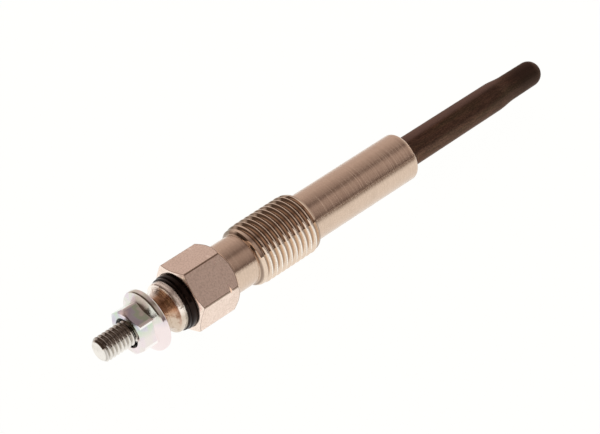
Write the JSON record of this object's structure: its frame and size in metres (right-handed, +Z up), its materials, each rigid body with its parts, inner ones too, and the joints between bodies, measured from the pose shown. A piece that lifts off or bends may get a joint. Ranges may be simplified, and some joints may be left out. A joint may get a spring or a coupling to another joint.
{
  "type": "diesel glow plug",
  "caption": "Sheathed diesel glow plug with a screw terminal, flange nut, insulated collar, hexagon body, mounting thread and a slim dark heater sheath with a round tip.",
  "frame": {"origin": "middle of the plug's length, on the surface it lies on, straight below its axis", "axes": "+X along the plug's axis toward the heater tip, +Z up from the surface it lies on, +Y across"},
  "size_m": [0.0928, 0.0114, 0.01],
  "materials": {
    "body_nickel": "satin nickel plating, slightly warm",
    "stud_steel": "darkened steel thread",
    "nut_zinc": "blue-passivated zinc plating",
    "collar_nickel": "bright nickel plating with slight brown stains",
    "bush_black": "semi-gloss moulding",
    "seal_rubber": "matte",
    "sheath_oxide": "dark brown heat oxide",
    "control_wire": "drawn wire",
    "heating_wire": "drawn wire",
    "magnesia": "compacted powder"
  },
  "bodies": {
    "root": {"terminal_stud": "stud_steel", "flange_nut": "nut_zinc", "round_nut": "collar_nickel", "insulating_bush": "bush_black", "sealing_ring": "seal_rubber", "plug_body": "body_nickel", "heater_sheath": "sheath_oxide", "sheath_seal": "seal_rubber", "control_coil": "control_wire", "heating_coil": "heating_wire", "magnesia_filling": "magnesia"}
  },
  "joints": []
}
